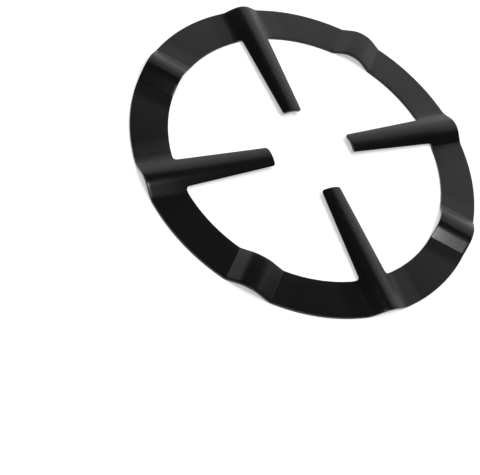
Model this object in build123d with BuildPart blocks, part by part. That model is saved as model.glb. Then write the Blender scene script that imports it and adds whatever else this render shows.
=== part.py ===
from build123d import *
import os
from math import acos, atan2, cos, hypot, radians, sin

# Gas hob reducer ring: one sheet-steel pressing that lets a small pot stand over a burner.
# A flat band carries four fingers, and every finger is stiffened by an arched rib that runs on
# across the band to the rim. Between the fingers four wider beads cross the band.
# The origin is the ring's centre at the underside of the band, with +Z towards the pot and
# one finger along +X. All sizes are in millimetres.

outer_diameter = 145.0
band_width = 14.8
sheet = 1.2
rise = 2.9  # of every rib and bead above the band

finger_count = 4
tip_circle = 37.0  # left open between opposite fingertips
finger_root_width = 12.2  # over the arched top, at the band's inner edge
finger_tip_width = 8.5
root_fillet = 1.2
tip_corner = 0.9

# A finger's rib: bend radii of the sheet's middle at the crown and the foot, and the straight
# flank between them
rib_crown = 8.0
rib_flank = 2.8
rib_foot = 2.4

# A bead across the band, which also has a flat top
bead_crown = 8.5
bead_flank = 3.2
bead_foot = 2.6
bead_flat = 2.0

outer_radius = outer_diameter / 2
inner_radius = outer_radius - band_width
tip_radius = tip_circle / 2
finger_pitch = 360 / finger_count
sheet_top = Plane.XY.offset(sheet)
margin = sheet  # by which the raw forms run past the blank's outline


def arch_section(plane, crown, flank, foot, flat=0):
    """Closed section of an arch, from its flat top over crown, flank and foot to the band.

    The radii are those of the sheet's middle, and the section follows the sheet's top. The
    flank's slope is the one that brings the arch to its rise.
    """
    bends = crown + foot
    slope = acos((bends - rise) / hypot(bends, flank)) - atan2(flank, bends)
    crown_top = crown + sheet / 2
    foot_top = foot - sheet / 2
    flat_end = (flat / 2, rise)
    crown_end = (flat_end[0] + crown_top * sin(slope), rise - crown_top * (1 - cos(slope)))
    flank_end = (crown_end[0] + flank * cos(slope), crown_end[1] - flank * sin(slope))
    foot_end = (flank_end[0] + foot_top * sin(slope), 0)
    with BuildSketch(plane) as section:
        with BuildLine():
            Polyline((0, -sheet), (foot_end[0], -sheet), foot_end)
            RadiusArc(foot_end, flank_end, foot_top)
            Line(flank_end, crown_end)
            RadiusArc(crown_end, flat_end, -crown_top)
            if flat:
                Line(flat_end, (0, rise))
            mirror(about=Plane.YZ)
        make_face()
    return section.sketch


def radial_plane(angle, start):
    """Plane across the radius at an angle, whose normal points outwards and whose Y is up."""
    across = Vector(-sin(radians(angle)), cos(radians(angle)), 0)
    outwards = across.rotate(Axis.Z, -90)
    return Plane(origin=outwards * start + Vector(0, 0, sheet), x_dir=across, z_dir=outwards)


# The blank's outline: band and fingers, with rounded fingertips and filleted finger roots
with BuildSketch(sheet_top) as blank:
    Circle(outer_radius)
    Circle(inner_radius, mode=Mode.SUBTRACT)
    taper = (finger_root_width - finger_tip_width) / 2 / (inner_radius - tip_radius)
    seat_radius = inner_radius + band_width / 2
    half_tip = finger_tip_width / 2
    half_seat = half_tip + taper * (seat_radius - tip_radius)
    with PolarLocations(0, finger_count):
        Polygon(
            (tip_radius, -half_tip),
            (seat_radius, -half_seat),
            (seat_radius, half_seat),
            (tip_radius, half_tip),
            align=None,
        )
    fillet(blank.vertices().group_by(SortBy.DISTANCE)[1], radius=root_fillet)
    fillet(blank.vertices().group_by(SortBy.DISTANCE)[0], radius=tip_corner)

# A solid under the sheet's upper skin: a disc with the ribs and beads, cut to the outline
with BuildPart() as form:
    with BuildSketch(sheet_top):
        Circle(outer_radius + margin)
    extrude(amount=-sheet)
    for number in range(finger_count):
        rib_plane = radial_plane(number * finger_pitch, tip_radius - margin)
        rib = arch_section(rib_plane, rib_crown, rib_flank, rib_foot)
        extrude(rib, amount=outer_radius - tip_radius + 2 * margin)
        bead_plane = radial_plane((number + 0.5) * finger_pitch, inner_radius - margin)
        bead = arch_section(bead_plane, bead_crown, bead_flank, bead_foot, bead_flat)
        extrude(bead, amount=band_width + 2 * margin)
    extrude(blank.sketch, amount=sheet + rise, both=True, mode=Mode.INTERSECT)

# The pressing is that skin, thickened downwards along its normals, so that the cut edges stay
# square to the sheet everywhere, as on a blank that was cut flat and formed afterwards
with BuildPart() as reducer_ring:
    skin = form.faces().filter_by(lambda face: face.normal_at().Z > 0.01)
    thicken(skin, amount=-sheet)

reducer_ring.part.label = "reducer_ring"
os.makedirs("parts", exist_ok=True)
export_step(reducer_ring.part, "parts/reducer_ring.step")
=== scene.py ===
"""Gas hob reducer ring: one ring pressed from sheet steel, coated black, on a white table.

The flat blank is drawn as one quarter, with a finger in its middle. Geometry Nodes repeat the
quarter round the axis, give the blank its thickness and its rounded edges, and press the arched
ribs and beads into it. Sizes are in millimetres until they reach Blender, which gets metres.
"""

import logging
from dataclasses import dataclass, field
from enum import Enum
from math import acos, asin, atan, atan2, cos, hypot, pi, radians, sin, sqrt, tan

import bpy
from mathutils import Matrix, Vector


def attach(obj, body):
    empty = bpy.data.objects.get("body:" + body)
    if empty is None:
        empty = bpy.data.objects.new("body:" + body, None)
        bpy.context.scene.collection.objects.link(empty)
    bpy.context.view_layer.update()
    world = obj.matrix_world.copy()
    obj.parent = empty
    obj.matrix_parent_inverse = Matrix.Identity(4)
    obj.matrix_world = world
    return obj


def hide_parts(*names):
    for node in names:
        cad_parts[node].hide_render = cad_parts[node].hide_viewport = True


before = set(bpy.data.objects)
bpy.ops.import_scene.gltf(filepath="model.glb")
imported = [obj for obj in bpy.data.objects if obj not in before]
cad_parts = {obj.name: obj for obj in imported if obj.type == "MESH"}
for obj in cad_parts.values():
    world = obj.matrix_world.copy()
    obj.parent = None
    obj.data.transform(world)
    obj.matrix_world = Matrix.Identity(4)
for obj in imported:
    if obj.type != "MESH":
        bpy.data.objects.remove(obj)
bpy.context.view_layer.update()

MM = 0.001  # in metres
MATH = "ShaderNodeMath"
VECTOR_MATH = "ShaderNodeVectorMath"
LOG = logging.getLogger("reducer_ring")


def linear(hex_code: str) -> tuple[float, float, float, float]:
    """Turns an sRGB hex colour into the linear colour that Blender works in.

    Args:
        hex_code: the colour as "#rrggbb".

    Returns:
        Linear red, green and blue, and an alpha of 1.
    """
    parts = [int(hex_code[i : i + 2], 16) / 255 for i in (1, 3, 5)]
    turned = [p / 12.92 if p <= 0.04045 else ((p + 0.055) / 1.055) ** 2.4 for p in parts]
    return (*turned, 1.0)


def add_node(
    tree: bpy.types.NodeTree, kind: str, inputs: dict | list | tuple = (), **settings: object
) -> bpy.types.Node:
    """Adds a node to a tree, with its settings, its values and its links.

    Args:
        tree: the node tree.
        kind: the node's type.
        inputs: values by socket name, or in the order of the node's sockets. A node or a socket
            as a value makes a link, and None leaves the socket as it is.
        settings: the node's own properties.

    Returns:
        The new node.
    """
    made = tree.nodes.new(kind)
    for name, value in settings.items():
        setattr(made, name, value)
    free = [s for s in made.inputs if s.enabled]
    pairs = inputs.items() if isinstance(inputs, dict) else enumerate(inputs)
    for key, value in pairs:
        socket = free[key] if isinstance(key, int) else next(s for s in free if s.name == key)
        if isinstance(value, bpy.types.Node):
            value = next(s for s in value.outputs if s.enabled)
        if isinstance(value, bpy.types.NodeSocket):
            tree.links.new(value, socket)
        elif value is not None:
            socket.default_value = value
    return made


def add_chain(tree: bpy.types.NodeTree, kind: str, known: dict, steps: tuple) -> dict:
    """Adds a chain of nodes, in which each takes what it needs by name.

    Args:
        tree: the node tree.
        kind: the type of the chain's nodes.
        known: nodes, sockets and values by name, which the chain starts from.
        steps: each step's name, its operation, and its terms by name or as values.

    Returns:
        The known values and the chain's nodes, by name.
    """
    got = dict(known)
    for name, operation, *terms in steps:
        values = [got[term] if isinstance(term, str) else term for term in terms]
        got[name] = add_node(tree, kind, values, operation=operation)
    return got


def empty_material(name: str) -> bpy.types.Material:
    """Makes a material whose node tree is empty.

    Args:
        name: the material's name.

    Returns:
        The material.
    """
    made = bpy.data.materials.new(name)
    made.use_nodes = True
    made.node_tree.nodes.clear()
    return made


@dataclass(frozen=True)
class SatinCoat:
    """Heat-resistant black silicone coat, sprayed on pressed steel and baked.

    It gives the eye a deep neutral black with a soft sheen. Each flat of the band has its own
    tone in that sheen and darkens or lightens towards the arches, as if it leaned down to the
    rim by about two degrees and curled up a little at its ends. The mesh keeps the flats level,
    and the coat's relief alone carries both. A very fine orange peel and slow changes in the
    gloss keep the sheen from looking like plastic.
    """

    colour: str = "#0a0a0a"
    thick_colour: str = "#0d0d0d"  # where the spray lay thicker
    ior: float = 1.46
    roughness: float = 0.25
    gloss_change: float = 0.02  # by which the roughness goes up and down
    peel_size: float = 0.9  # mm between the dimples of the orange peel
    peel_depth: float = 0.001  # mm
    peel_detail: float = 2.0
    cloud_size: float = 22.0  # mm across a patch of thicker or thinner spray
    cloud_detail: float = 4.0
    lean: float = 2.3  # degrees, by which the band's flats lean down towards the rim
    flats: int = 8
    band_start: float = 57.7  # mm from the axis, where the lean begins
    easing: float = 6.0  # mm over which it begins
    fall_end: float = 0.9  # share of the way to an arch, where a flat's own fall ends
    fall_easing: float = 0.4  # share of that way over which it ends
    curl: float = 0.38  # mm, by which a flat's ends rise
    curl_start: float = 17.0  # mm from an arch's centre line, where that begins
    curl_end: float = 6.5  # mm from it, where that ends

    def relief(self, tree: bpy.types.NodeTree, place: bpy.types.NodeSocket) -> bpy.types.Node:
        """Adds the coat's fine relief, in metres: the flats' lean and curl, and the peel.

        Args:
            tree: the material's node tree.
            place: the Object coordinates.

        Returns:
            The node whose value is the height.
        """
        peel = add_node(
            tree,
            "ShaderNodeTexNoise",
            {
                "Vector": place,
                "Scale": 1 / (self.peel_size * MM),
                "Detail": self.peel_detail,
            },
        )
        parts = add_node(tree, "ShaderNodeSeparateXYZ", [place]).outputs
        half = pi / self.flats
        end, ease = self.fall_end * half, self.fall_easing * half
        drop = -tan(radians(self.lean))

        # "aside" is the angle from a flat's middle, and "to arch" the way to the arch beside it
        got = add_chain(
            tree,
            MATH,
            {"x": parts["X"], "y": parts["Y"], "peel": peel},
            (
                ("x squared", "MULTIPLY", "x", "x"),
                ("squares", "MULTIPLY_ADD", "y", "y", "x squared"),
                ("radius", "SQRT", "squares"),
                ("turn", "ARCTAN2", "y", "x"),
                ("from middle", "SUBTRACT", "turn", half),
                ("aside", "PINGPONG", "from middle", half),
                ("eased aside", "SMOOTH_MIN", "aside", end, ease),
                ("share", "COSINE", "eased aside"),
                ("along", "MULTIPLY", "radius", "share"),
                ("past start", "SUBTRACT", "along", self.band_start * MM),
                ("run", "SMOOTH_MAX", "past start", 0.0, self.easing * MM),
                ("peel height", "MULTIPLY", "peel", self.peel_depth * MM),
                ("lean height", "MULTIPLY_ADD", "run", drop, "peel height"),
                ("turn to arch", "SUBTRACT", half, "aside"),
                ("to arch", "MULTIPLY", "turn to arch", "radius"),
            ),
        )
        curl = add_node(
            tree,
            "ShaderNodeMapRange",
            {
                "Value": got["to arch"],
                "From Min": self.curl_start * MM,
                "From Max": self.curl_end * MM,
                "To Min": 0.0,
                "To Max": self.curl * MM,
            },
            interpolation_type="SMOOTHSTEP",
        )
        return add_node(tree, MATH, [got["lean height"], curl], operation="ADD")

    def material(self) -> bpy.types.Material:
        """Makes the material.

        Returns:
            The coat's material.
        """
        made = empty_material("black_satin_coat")
        tree = made.node_tree
        place = add_node(tree, "ShaderNodeTexCoord").outputs["Object"]
        clouds = add_node(
            tree,
            "ShaderNodeTexNoise",
            {
                "Vector": place,
                "Scale": 1 / (self.cloud_size * MM),
                "Detail": self.cloud_detail,
            },
        )
        colour = add_node(
            tree,
            "ShaderNodeMix",
            {"Factor": clouds, "A": linear(self.colour), "B": linear(self.thick_colour)},
            data_type="RGBA",
        )
        low, high = self.roughness - self.gloss_change, self.roughness + self.gloss_change
        gloss = add_node(
            tree, "ShaderNodeMapRange", {"Value": clouds, "To Min": low, "To Max": high}
        )
        relief = self.relief(tree, place)

        # Heights are in metres, so a distance of 1 gives the relief its real depth
        bump = add_node(
            tree, "ShaderNodeBump", {"Height": relief, "Strength": 1.0, "Distance": 1.0}
        )
        shader = add_node(
            tree,
            "ShaderNodeBsdfPrincipled",
            {"Base Color": colour, "Roughness": gloss, "IOR": self.ior, "Normal": bump},
        )
        add_node(tree, "ShaderNodeOutputMaterial", {"Surface": shader})
        return made


@dataclass(frozen=True)
class MattWhite:
    """Matt white paint of the table top and of the wall beyond it.

    It gives the eye a plain white with the ring's soft shadow on it. The glow is there for the
    camera and for the coat's sheen alone, and sheds no other light on the ring.
    """

    name: str
    sheen_glow: float  # which the coat's sheen sees on top of the light on the paint
    colour: str = "#e1e1e1"
    roughness: float = 1.0
    glow: float = 0.5  # the same for the camera

    def material(self) -> bpy.types.Material:
        """Makes the material.

        Returns:
            The paint's material.
        """
        made = empty_material(self.name)
        tree = made.node_tree
        paint = add_node(
            tree,
            "ShaderNodeBsdfDiffuse",
            {"Color": linear(self.colour), "Roughness": self.roughness},
        )
        rays = add_node(tree, "ShaderNodeLightPath").outputs
        glow = add_chain(
            tree,
            MATH,
            {"camera": rays["Is Camera Ray"], "glossy": rays["Is Glossy Ray"]},
            (
                ("to sheen", "MULTIPLY", "glossy", self.sheen_glow),
                ("glow", "MULTIPLY_ADD", "camera", self.glow, "to sheen"),
            ),
        )["glow"]
        light = add_node(tree, "ShaderNodeEmission", {"Strength": glow})
        both = add_node(tree, "ShaderNodeAddShader", [paint, light])
        add_node(tree, "ShaderNodeOutputMaterial", {"Surface": both})

        # The glow isn't a lamp, so no light is sampled from it
        made.cycles.emission_sampling = "NONE"
        return made


class Arch(Enum):
    """Where an arch stands, as a share of the pitch from finger to finger."""

    RIB = 0.0
    BEAD = 0.5


@dataclass(frozen=True)
class ArchSection:
    """Cross-section of a pressed arch: bend radii of the sheet's middle, and its straights."""

    crown: float
    flank: float
    foot: float
    flat: float = 0.0

    def slope(self, rise: float) -> float:
        """The flank's slope that brings the arch to its rise.

        Args:
            rise: height of the arch above the flat band.

        Returns:
            The slope in radians.
        """
        bends = self.crown + self.foot
        return acos((bends - rise) / hypot(bends, self.flank)) - atan2(self.flank, bends)

    def reach(self, rise: float) -> float:
        """Half the width of the arch, from its centre line to the flat band.

        Args:
            rise: height of the arch above the flat band.

        Returns:
            The half width.
        """
        slope = self.slope(rise)
        return self.flat / 2 + (self.crown + self.foot) * sin(slope) + self.flank * cos(slope)


@dataclass
class Grid:
    """Points and faces of a flat mesh."""

    points: list[tuple[float, float, float]] = field(default_factory=list)
    faces: list[tuple[int, int, int, int]] = field(default_factory=list)

    def place(self, x: float, y: float) -> int:
        """Adds a point and returns its number."""
        self.points.append((x * MM, y * MM, 0.0))
        return len(self.points) - 1

    def join(self, rows: list[list[int]]) -> None:
        """Fills the faces between neighbouring rows.

        Args:
            rows: the numbers of each row's points, as many in one row as in the next.
        """
        for near, far in zip(rows, rows[1:]):
            for j in range(len(near) - 1):
                self.faces.append((near[j], far[j], far[j + 1], near[j + 1]))


@dataclass(frozen=True)
class Column:
    """One column of the band's grid, from a start radius to the rim.

    It follows a rib's side at share 0 and a bead's side at share 1, each at an offset from the
    arch's centre line, and lies between them at any other share.
    """

    start: float
    share: float
    rib_offset: float
    bead_offset: float
    bead_angle: float

    def angle(self, radius: float) -> float:
        """The column's polar angle at a radius.

        Args:
            radius: distance from the axis.

        Returns:
            The angle in radians, from the finger's centre line.
        """
        at_rib = asin(self.rib_offset / radius)
        at_bead = self.bead_angle - asin(self.bead_offset / radius)
        return at_rib + (at_bead - at_rib) * self.share


@dataclass(frozen=True)
class Blank:
    """Outline of the flat blank, and the grid of the part of it round one finger."""

    fingers: int = 4
    outer_radius: float = 72.5
    inner_radius: float = 57.7
    tip_radius: float = 18.5
    tip_half: float = 4.25  # half a finger's width at its tip
    root_half: float = 6.1
    root_fillet: float = 1.2
    tip_corner: float = 0.9
    edge: float = 0.15  # by which the flat faces stop short of the outline, for the rounded edge
    finger_columns: int = 20  # from a finger's centre line to its side
    corner_steps: int = 4  # round a tip's corner, and round each half of a root fillet
    row_step: float = 0.9
    flat_columns: int = 24  # from a rib's last column to a bead's first
    bead_columns: int = 26  # from there to the bead's centre line

    @property
    def taper(self) -> float:
        """How much a finger's half width grows per millimetre towards the band."""
        return (self.root_half - self.tip_half) / (self.inner_radius - self.tip_radius)

    @property
    def root_centre(self) -> Vector:
        """Centre of the fillet between a finger's side and the band's inner edge.

        It lies at the fillet's radius from both.

        Returns:
            The centre in the plane of the blank.
        """
        k = self.taper
        start = self.tip_half - k * self.tip_radius + self.root_fillet * sqrt(1 + k * k)
        reach = self.inner_radius - self.root_fillet
        x = sqrt(start * start * k * k - (1 + k * k) * (start * start - reach * reach))
        x = (x - start * k) / (1 + k * k)
        return Vector((x, start + k * x))

    @property
    def root_middle(self) -> float:
        """Direction of the root fillet's middle from its centre, in radians."""
        centre = self.root_centre
        return (atan(self.taper) - pi / 2 + atan2(centre.y, centre.x)) / 2

    def root_point(self, turn: float) -> Vector:
        """A point on the flat face's edge round the root fillet, seen from its centre."""
        reach = self.root_fillet + self.edge
        return self.root_centre + reach * Vector((cos(turn), sin(turn)))

    def side(self) -> list[Vector]:
        """Walks along a finger's side, from its tip to the middle of its root fillet.

        Returns:
            Points in the plane of the blank, one for each row of the finger.
        """
        lean = atan(self.taper)
        radius = self.tip_corner - self.edge
        half = self.tip_half + self.taper * self.tip_corner
        centre = Vector((self.tip_radius + self.tip_corner, half - self.tip_corner / cos(lean)))
        tip, root = [], []
        for i in range(self.corner_steps + 1):
            turn = pi + (pi / 2 + lean - pi) * i / self.corner_steps
            tip.append(centre + radius * Vector((cos(turn), sin(turn))))
            turn = lean - pi / 2
            turn += (self.root_middle - turn) * i / self.corner_steps
            root.append(self.root_point(turn))
        count = round((root[0] - tip[-1]).length / self.row_step)
        return tip + [tip[-1].lerp(root[0], i / count) for i in range(1, count)] + root

    def finger_rows(self, grid: Grid) -> list[list[int]]:
        """Lays the finger's rows, which bend to the band's curve towards its root.

        Args:
            grid: the grid that they go into.

        Returns:
            The rows of points, from the tip to the root.
        """
        side = self.side()
        tip, corner = side[0], side[-1]
        root_radius, count = corner.length, self.finger_columns
        rows = []
        for at in side:
            share = (at.x - tip.x) / (corner.x - tip.x)
            row = []
            for j in range(-count, count + 1):
                y = at.y * j / count
                bulge = sqrt(root_radius**2 - y * y) - sqrt(root_radius**2 - at.y**2)
                row.append(grid.place(at.x + share * bulge, y))
            rows.append(row)
        return rows

    def columns(self, rib_reach: float, bead_reach: float) -> list[Column]:
        """Lists the band's columns, from the finger's centre line to the next bead's.

        Args:
            rib_reach: distance from the finger's centre line where columns stop following it.
            bead_reach: the same for a bead.

        Returns:
            The columns.
        """
        corner = self.root_point(self.root_middle)
        inner = self.inner_radius + self.edge
        bead_angle = pi / self.fingers
        made = []
        for j in range(self.finger_columns + 1):
            offset = corner.y * j / self.finger_columns
            made.append(Column(corner.length, 0.0, offset, 0.0, bead_angle))
        tangent = atan2(self.root_centre.y, self.root_centre.x)
        for i in range(1, self.corner_steps + 1):
            turn = self.root_middle + (tangent - self.root_middle) * i / self.corner_steps
            start = self.root_point(turn)
            made.append(Column(start.length, 0.0, start.y, 0.0, bead_angle))
        for i in range(self.flat_columns):
            made.append(Column(inner, i / self.flat_columns, rib_reach, bead_reach, bead_angle))
        for i in range(self.bead_columns + 1):
            offset = bead_reach * (1 - i / self.bead_columns)
            made.append(Column(inner, 1.0, 0.0, offset, bead_angle))
        return made

    def grid(self, rib_reach: float, bead_reach: float) -> Grid:
        """Lays the grid, in columns that follow the arches and rows that cross them.

        Args:
            rib_reach: distance from the finger's centre line where columns stop following it.
            bead_reach: the same for a bead.

        Returns:
            The grid.
        """
        grid = Grid()
        finger = self.finger_rows(grid)
        grid.join(finger)
        columns = self.columns(rib_reach, bead_reach)
        rim = self.outer_radius - self.edge
        steps = round((rim - self.inner_radius - self.edge) / self.row_step)
        middle, count = len(columns) - 1, self.finger_columns
        band = []
        for i in range(steps + 1):
            half = []
            for column in columns:
                radius = column.start + (rim - column.start) * i / steps
                turn = column.angle(radius)
                half.append((radius * cos(turn), radius * sin(turn)))
            row = [grid.place(x, -y) for x, y in reversed(half[1:])]
            row += [grid.place(x, y) for x, y in half]
            if i == 0:
                row[middle - count : middle + count + 1] = finger[-1]
            band.append(row)
        grid.join(band)
        return grid


@dataclass
class ReducerRing:
    """The pressed ring, which is one sheet of steel all over."""

    blank: Blank = field(default_factory=Blank)
    sheet: float = 1.2
    rise: float = 2.9  # of every arch above the flat band
    rib: ArchSection = ArchSection(crown=8.1, flank=4.5, foot=1.0)
    bead: ArchSection = ArchSection(crown=9.6, flank=4.6, foot=1.0, flat=1.0)
    edge_steps: int = 3  # faces across each rounded edge
    margin: float = 0.8  # from an arch's foot to the last column that follows it
    seam: float = 0.01  # within which two points become one
    finish: SatinCoat = SatinCoat()

    def arch_group(self) -> bpy.types.NodeTree:
        """Makes the node group that presses one kind of arch into the blank.

        A point of the blank holds its depth below the top skin as -Z. It goes up with the skin's
        arch, and stays at its depth along the skin's normal.

        Returns:
            The node group.
        """
        tree = bpy.data.node_groups.new("press_arch", "GeometryNodeTree")
        tree.interface.new_socket("Geometry", in_out="INPUT", socket_type="NodeSocketGeometry")
        for name in ("Phase", "Pitch", "Rise", "Crown", "Flank", "Foot", "Flat", "Slope"):
            tree.interface.new_socket(name, in_out="INPUT", socket_type="NodeSocketFloat")
        tree.interface.new_socket("Geometry", in_out="OUTPUT", socket_type="NodeSocketGeometry")
        given = {s.name: s for s in add_node(tree, "NodeGroupInput").outputs if s.name}

        # The nearest arch's centre line, turned onto the X axis
        place = add_node(tree, "GeometryNodeInputPosition")
        parts = add_node(tree, "ShaderNodeSeparateXYZ", [place]).outputs
        got = add_chain(
            tree,
            MATH,
            given | {"x": parts["X"], "y": parts["Y"]},
            (
                ("turn", "ARCTAN2", "y", "x"),
                ("pitches", "DIVIDE", "turn", "Pitch"),
                ("past phase", "SUBTRACT", "pitches", "Phase"),
                ("number", "ROUND", "past phase"),
                ("with phase", "ADD", "number", "Phase"),
                ("axis", "MULTIPLY", "with phase", "Pitch"),
                ("back", "MULTIPLY", "axis", -1.0),
            ),
        )
        local = add_node(
            tree,
            "ShaderNodeVectorRotate",
            {"Vector": place, "Angle": got["back"]},
            rotation_type="Z_AXIS",
        )
        parts = add_node(tree, "ShaderNodeSeparateXYZ", [local]).outputs

        # The section: "lean" is the sine of the skin's slope, and "up" its cosine
        got = add_chain(
            tree,
            MATH,
            got | {"along": parts["X"], "across": parts["Y"], "depth": parts["Z"]},
            (
                ("aside", "ABSOLUTE", "across"),
                ("steep", "SINE", "Slope"),
                ("upright", "COSINE", "Slope"),
                ("grade", "TANGENT", "Slope"),
                ("flat end", "MULTIPLY", "Flat", 0.5),
                ("crown end", "MULTIPLY_ADD", "Crown", "steep", "flat end"),
                ("flank end", "MULTIPLY_ADD", "Flank", "upright", "crown end"),
                ("foot end", "MULTIPLY_ADD", "Foot", "steep", "flank end"),
                ("past flat", "SUBTRACT", "aside", "flat end"),
                ("before end", "SUBTRACT", "foot end", "aside"),
                ("crown lean", "DIVIDE", "past flat", "Crown"),
                ("foot lean", "DIVIDE", "before end", "Foot"),
                ("lesser lean", "MINIMUM", "crown lean", "foot lean"),
                ("least lean", "MINIMUM", "lesser lean", "steep"),
                ("lean", "MAXIMUM", "least lean", 0.0),
                ("lean squared", "MULTIPLY", "lean", "lean"),
                ("up squared", "SUBTRACT", 1.0, "lean squared"),
                ("up", "SQRT", "up squared"),
                ("bend", "SUBTRACT", 1.0, "up"),
                ("past crown", "SUBTRACT", "aside", "crown end"),
                ("run", "MAXIMUM", "past crown", 0.0),
                ("crown drop", "MULTIPLY", "Crown", "bend"),
                ("crown height", "SUBTRACT", "Rise", "crown drop"),
                ("flank drop", "MULTIPLY", "run", "grade"),
                ("upper height", "SUBTRACT", "crown height", "flank drop"),
                ("foot height", "MULTIPLY", "Foot", "bend"),
                ("on foot", "GREATER_THAN", "aside", "flank end"),
                ("inside", "LESS_THAN", "aside", "foot end"),
                ("side", "SIGN", "across"),
                ("lean outwards", "MULTIPLY", "lean", "side"),
                ("pressed across", "MULTIPLY_ADD", "depth", "lean outwards", "across"),
            ),
        )
        height = add_node(
            tree,
            "ShaderNodeMix",
            [got["on foot"], got["upper height"], got["foot height"]],
            data_type="FLOAT",
        )
        level = add_node(
            tree, MATH, [got["depth"], got["up"], height], operation="MULTIPLY_ADD"
        )
        pressed = add_node(
            tree, "ShaderNodeCombineXYZ", [got["along"], got["pressed across"], level]
        )
        turned = add_node(
            tree,
            "ShaderNodeVectorRotate",
            {"Vector": pressed, "Angle": got["axis"]},
            rotation_type="Z_AXIS",
        )
        moved = add_node(
            tree,
            "GeometryNodeSetPosition",
            {"Geometry": given["Geometry"], "Selection": got["inside"], "Position": turned},
        )
        add_node(tree, "NodeGroupOutput", [moved])
        return tree

    def away_from_sheet(self, tree: bpy.types.NodeTree) -> bpy.types.Node:
        """Adds the direction that points away from the blank, square to each open edge.

        Args:
            tree: the tree that needs it.

        Returns:
            The node whose value is the direction, in the plane of the blank.
        """
        place = add_node(tree, "GeometryNodeInputPosition")
        spread = {"data_type": "FLOAT_VECTOR"}
        face = add_node(tree, "GeometryNodeFieldOnDomain", [place], **spread, domain="FACE")
        beside = add_node(tree, "GeometryNodeFieldOnDomain", [face], **spread, domain="EDGE")
        middle = add_node(tree, "GeometryNodeFieldOnDomain", [place], **spread, domain="EDGE")
        ends = add_node(tree, "GeometryNodeInputMeshEdgeVertices").outputs
        return add_chain(
            tree,
            VECTOR_MATH,
            {
                "first": ends["Position 1"],
                "second": ends["Position 2"],
                "middle": middle,
                "beside": beside,
            },
            (
                ("along", "SUBTRACT", "first", "second"),
                ("from face", "SUBTRACT", "middle", "beside"),
                ("level", "MULTIPLY", "from face", (1.0, 1.0, 0.0)),
                ("on edge", "PROJECT", "level", "along"),
                ("square", "SUBTRACT", "level", "on edge"),
                ("away", "NORMALIZE", "square"),
            ),
        )["away"]

    def press_tree(self) -> bpy.types.NodeTree:
        """Makes the tree that turns the flat quarter into the pressed ring.

        Returns:
            The tree, with its sizes as named inputs.
        """
        tree = bpy.data.node_groups.new("press_ring", "GeometryNodeTree")
        tree.interface.new_socket("Geometry", in_out="INPUT", socket_type="NodeSocketGeometry")
        tree.interface.new_socket("Count", in_out="INPUT", socket_type="NodeSocketInt")
        shape_sizes = ("Crown", "Flank", "Foot", "Flat", "Slope")
        sizes = [f"{arch.name} {size}" for arch in Arch for size in shape_sizes]
        for name in ["Sheet", "Rise", "Edge"] + sizes:
            tree.interface.new_socket(name, in_out="INPUT", socket_type="NodeSocketFloat")
        tree.interface.new_socket("Coat", in_out="INPUT", socket_type="NodeSocketMaterial")
        tree.interface.new_socket("Geometry", in_out="OUTPUT", socket_type="NodeSocketGeometry")
        given = {s.name: s for s in add_node(tree, "NodeGroupInput").outputs if s.name}
        index = add_node(tree, "GeometryNodeInputIndex")
        got = add_chain(
            tree,
            MATH,
            given | {"index": index},
            (
                ("pitch", "DIVIDE", 2 * pi, "Count"),
                ("turn", "MULTIPLY", "index", "pitch"),
                ("half sheet", "MULTIPLY", "Sheet", 0.5),
                ("half wall", "SUBTRACT", "half sheet", "Edge"),
                ("wall drop", "MULTIPLY", "half wall", -1.0),
                ("sheet drop", "MULTIPLY", "Sheet", -1.0),
            ),
        )

        # The quarter, repeated round the axis
        points = add_node(tree, "GeometryNodePoints", {"Count": given["Count"]})
        turned = add_node(tree, "ShaderNodeCombineXYZ", {"Z": got["turn"]})
        quarters = add_node(
            tree,
            "GeometryNodeInstanceOnPoints",
            {"Points": points, "Instance": given["Geometry"], "Rotation": turned},
        )
        real = add_node(tree, "GeometryNodeRealizeInstances", [quarters])
        shape = add_node(
            tree, "GeometryNodeMergeByDistance", {"Geometry": real, "Distance": self.seam * MM}
        )

        # The rounded edge and half of the cut wall, step by step down from the top
        away = self.away_from_sheet(tree)
        beside = add_node(tree, "GeometryNodeInputMeshEdgeNeighbors")
        is_open = add_node(
            tree, "FunctionNodeCompare", [beside, 1], data_type="INT", operation="EQUAL"
        )
        for step in range(self.edge_steps + 1):
            a, b = (pi / 2 * min(i / self.edge_steps, 1.0) for i in (step, step + 1))
            move = add_chain(
                tree,
                MATH,
                given,
                (
                    ("out", "MULTIPLY", "Edge", sin(b) - sin(a)),
                    ("down", "MULTIPLY", "Edge", cos(b) - cos(a)),
                ),
            )
            down = got["wall drop"] if step == self.edge_steps else move["down"]
            outwards = add_node(
                tree, VECTOR_MATH, {"Vector": away, "Scale": move["out"]}, operation="SCALE"
            )
            downwards = add_node(tree, "ShaderNodeCombineXYZ", {"Z": down})
            offset = add_node(tree, VECTOR_MATH, [outwards, downwards], operation="ADD")
            shape = add_node(
                tree,
                "GeometryNodeExtrudeMesh",
                {"Mesh": shape, "Selection": is_open, "Offset": offset, "Offset Scale": 1.0},
                mode="EDGES",
            )

        # The other half, turned over, and the seam between them closed
        drop = add_node(tree, "ShaderNodeCombineXYZ", {"Z": got["sheet drop"]})
        under = add_node(
            tree,
            "GeometryNodeTransform",
            {"Geometry": shape, "Translation": drop, "Scale": (1.0, 1.0, -1.0)},
        )
        turned_over = add_node(tree, "GeometryNodeFlipFaces", [under])
        both = add_node(tree, "GeometryNodeJoinGeometry", [shape])
        tree.links.new(turned_over.outputs["Mesh"], both.inputs[0])
        plate = add_node(
            tree, "GeometryNodeMergeByDistance", {"Geometry": both, "Distance": self.seam * MM}
        )

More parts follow.
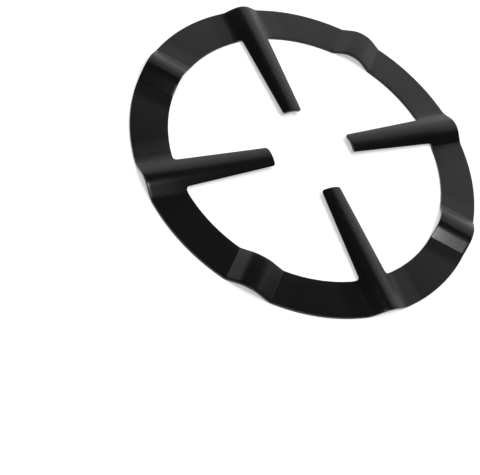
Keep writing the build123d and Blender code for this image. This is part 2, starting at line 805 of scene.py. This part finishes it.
        # The arches, then the band's underside onto the plane Z = 0, and the coat
        group = self.arch_group()
        for arch in Arch:
            values = {size: given[f"{arch.name} {size}"] for size in shape_sizes}
            values |= {"Geometry": plate, "Phase": arch.value, "Pitch": got["pitch"]}
            values["Rise"] = given["Rise"]
            plate = add_node(tree, "GeometryNodeGroup", values, node_tree=group)
        lift = add_node(tree, "ShaderNodeCombineXYZ", {"Z": given["Sheet"]})
        raised = add_node(tree, "GeometryNodeSetPosition", {"Geometry": plate, "Offset": lift})
        smooth = add_node(tree, "GeometryNodeSetShadeSmooth", {"Geometry": raised})
        whole = add_node(tree, "GeometryNodeRealizeInstances", [smooth])
        coated = add_node(
            tree, "GeometryNodeSetMaterial", {"Geometry": whole, "Material": given["Coat"]}
        )
        add_node(tree, "NodeGroupOutput", [coated])
        return tree

    def build(self) -> bpy.types.Object:
        """Presses the ring and dresses it in its coat.

        Returns:
            The ring as a plain mesh object.
        """
        sections = {Arch.RIB: self.rib, Arch.BEAD: self.bead}
        grid = self.blank.grid(*(s.reach(self.rise) + self.margin for s in sections.values()))
        flat = bpy.data.meshes.new("blank_quarter")
        flat.from_pydata(grid.points, [], grid.faces)
        flat.validate()
        source = bpy.data.objects.new("blank_quarter", flat)
        bpy.context.scene.collection.objects.link(source)
        values = {
            "Count": self.blank.fingers,
            "Sheet": self.sheet * MM,
            "Rise": self.rise * MM,
            "Edge": self.blank.edge * MM,
            "Coat": self.finish.material(),
        }
        for arch, section in sections.items():
            values |= {
                f"{arch.name} Crown": (section.crown + self.sheet / 2) * MM,
                f"{arch.name} Flank": section.flank * MM,
                f"{arch.name} Foot": (section.foot - self.sheet / 2) * MM,
                f"{arch.name} Flat": section.flat * MM,
                f"{arch.name} Slope": section.slope(self.rise),
            }
        press = source.modifiers.new("press", "NODES")
        press.node_group = self.press_tree()
        sockets = press.node_group.interface.items_tree
        for socket in sockets:
            if socket.name in values:
                press[socket.identifier] = values[socket.name]
        even = source.modifiers.new("even_flats", "WEIGHTED_NORMAL")
        even.keep_sharp = True
        ready = source.evaluated_get(bpy.context.evaluated_depsgraph_get())
        mesh = bpy.data.meshes.new_from_object(ready)
        mesh.name = "pressed_ring"
        source.modifiers.clear()
        bpy.data.objects.remove(source)
        piece = bpy.data.objects.new("pressed_ring", mesh)
        bpy.context.scene.collection.objects.link(piece)
        return piece


@dataclass(frozen=True)
class Lamp:
    """A soft rectangular lamp that faces the ring. Its angles are in degrees."""

    name: str
    azimuth: float
    elevation: float
    distance: float
    width: float
    height: float
    radiance: float  # of its face, where 1 is white
    mirrored: bool = True  # whether the coat's sheen shows it

    def hang(self) -> None:
        """Hangs the lamp in the scene."""
        data = bpy.data.lights.new(self.name, "AREA")
        data.shape = "RECTANGLE"
        data.size, data.size_y = self.width * MM, self.height * MM
        data.energy = self.radiance * pi * data.size * data.size_y
        hung = bpy.data.objects.new(self.name, data)
        hung.visible_glossy = self.mirrored
        a, e = radians(self.azimuth), radians(self.elevation)
        away = Vector((cos(a) * cos(e), sin(a) * cos(e), sin(e)))
        turn = away.to_track_quat("Z", "Y").to_matrix().to_4x4()
        hung.matrix_world = Matrix.Translation(away * self.distance * MM) @ turn
        bpy.context.scene.collection.objects.link(hung)


@dataclass
class Studio:
    """White table with a white wall beyond it, soft lamps, a dim room, and the camera.

    Its angles are in degrees, and azimuths are counted from the ring's first finger.
    """

    table_half: float = 4000.0
    table_gap: float = 0.05  # below the band, so that the two faces don't share a plane
    wall_azimuth: float = 35.0
    wall_distance: float = 1600.0
    wall_height: float = 2000.0
    wall_right: float = 1550.0  # how far it runs to the right, seen from the ring
    wall_left: float = 6400.0
    table_glow: float = 0.35  # which the coat's sheen sees on top of the light on the table
    wall_glow: float = 0.6  # the same for the wall
    room_light: float = 0.015
    eye: tuple[float, float, float] = (-232.6, -181.7, 319.7)
    ahead: tuple[float, float, float] = (0.46969, 0.37927, -0.79721)
    up: tuple[float, float, float] = (0.17873, 0.84346, 0.50658)
    lens: float = 82.52
    sensor: float = 36.0
    near_clip: float = 10.0
    far_clip: float = 20000.0
    lamps: tuple[Lamp, ...] = (
        Lamp(
            "high_box",
            azimuth=272.0,
            elevation=74.0,
            distance=900.0,
            width=220.0,
            height=220.0,
            radiance=15.0,
        ),
        Lamp(
            "left_card",
            azimuth=92.0,
            elevation=35.0,
            distance=1500.0,
            width=560.0,
            height=380.0,
            radiance=1.0,
        ),
        Lamp(
            "overhead_fill",
            azimuth=38.0,
            elevation=89.0,
            distance=1600.0,
            width=1600.0,
            height=1600.0,
            radiance=2.4,
            mirrored=False,
        ),
    )

    def sheet(self, name: str, corners: list[Vector], glow: float) -> bpy.types.Object:
        """Makes a flat white sheet of the set.

        Args:
            name: the sheet's name.
            corners: its four corners in millimetres.
            glow: what the coat's sheen sees on top of the light on the sheet.

        Returns:
            The sheet's object.
        """
        mesh = bpy.data.meshes.new(name)
        mesh.from_pydata([corner * MM for corner in corners], [], [(0, 1, 2, 3)])
        mesh.materials.append(MattWhite(f"{name}_paint", sheen_glow=glow).material())
        made = bpy.data.objects.new(name, mesh)
        bpy.context.scene.collection.objects.link(made)
        return made

    def table(self) -> bpy.types.Object:
        """Makes the table top under the ring.

        Returns:
            The table top's object.
        """
        half = self.table_half
        corners = ((-half, -half), (half, -half), (half, half), (-half, half))
        level = [Vector((x, y, -self.table_gap)) for x, y in corners]
        return self.sheet("table_top", level, self.table_glow)

    def wall(self) -> bpy.types.Object:
        """Makes the wall beyond the ring, which the band mirrors towards the camera.

        Returns:
            The wall's object.
        """
        a = radians(self.wall_azimuth)
        out, left = Vector((cos(a), sin(a), 0.0)), Vector((-sin(a), cos(a), 0.0))
        near = out * self.wall_distance
        high = Vector((0.0, 0.0, self.wall_height))
        right_end, left_end = near - left * self.wall_right, near + left * self.wall_left
        corners = [right_end, left_end, left_end + high, right_end + high]
        return self.sheet("far_wall", corners, self.wall_glow)

    def world(self) -> None:
        """Gives the room its dim light, and makes it white where the camera sees it."""
        made = bpy.data.worlds.new("dim_room")
        bpy.context.scene.world = made
        made.use_nodes = True
        tree = made.node_tree
        tree.nodes.clear()
        rays = add_node(tree, "ShaderNodeLightPath").outputs
        kind, white = "ShaderNodeBackground", linear("#ffffff")
        room = add_node(tree, kind, {"Color": white, "Strength": self.room_light})
        seen = add_node(tree, kind, {"Color": white, "Strength": 1.0})
        both = add_node(tree, "ShaderNodeMixShader", [rays["Is Camera Ray"], room, seen])
        add_node(tree, "ShaderNodeOutputWorld", {"Surface": both})

    def camera(self) -> None:
        """Sets the camera where the photograph was taken."""
        data = bpy.data.cameras.new("photo_camera")
        data.sensor_width, data.lens = self.sensor, self.lens
        data.clip_start, data.clip_end = self.near_clip * MM, self.far_clip * MM
        camera = bpy.data.objects.new("photo_camera", data)
        back = -Vector(self.ahead).normalized()
        right = Vector(self.up).cross(back).normalized()
        turn = Matrix((right, back.cross(right), back)).transposed()
        camera.matrix_world = Matrix.Translation(Vector(self.eye) * MM) @ turn.to_4x4()
        bpy.context.scene.collection.objects.link(camera)
        bpy.context.scene.camera = camera


def main() -> None:
    """Builds the ring and the studio, and reports each piece."""
    logging.basicConfig(level=logging.INFO, format="%(name)s: %(message)s")
    ring = ReducerRing().build()
    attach(ring, "root")
    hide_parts("reducer_ring")
    LOG.info("%s: %d faces", ring.name, len(ring.data.polygons))
    studio = Studio()
    for made in (studio.table(), studio.wall()):
        LOG.info("%s is staged", made.name)
    for lamp in studio.lamps:
        lamp.hang()
    studio.world()
    studio.camera()
    bpy.context.scene.view_settings.view_transform = "Standard"
    bpy.context.view_layer.update()


if __name__ == "__main__":
    main()
